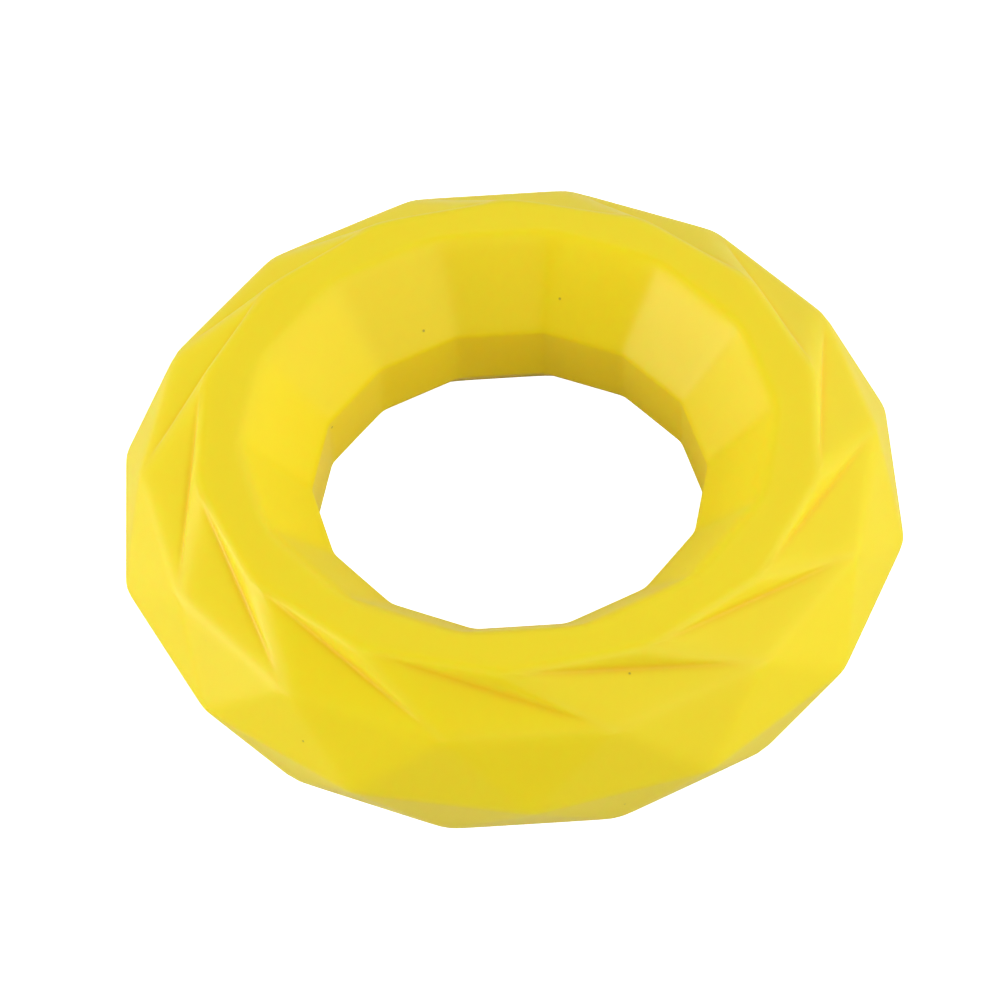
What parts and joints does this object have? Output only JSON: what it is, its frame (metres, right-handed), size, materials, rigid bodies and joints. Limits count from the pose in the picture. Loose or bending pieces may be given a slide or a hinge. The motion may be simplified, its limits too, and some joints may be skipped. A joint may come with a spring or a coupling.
{
  "type": "hand grip ring",
  "caption": "Thick faceted ring of soft yellow silicone rubber with a flared finger hole, squeezed in one hand to train the grip.",
  "frame": {"origin": "centre of the lower flat face's plane, on the ring's axis", "axes": "+Z along the ring's axis, up from the face it rests on; +X through a corner of the hole and a tip of the blades"},
  "size_m": [0.0738, 0.0752, 0.021],
  "materials": {
    "silicone": "matte to satin moulded surface, slightly translucent"
  },
  "bodies": {
    "root": {"grip_ring": "silicone"}
  },
  "joints": []
}
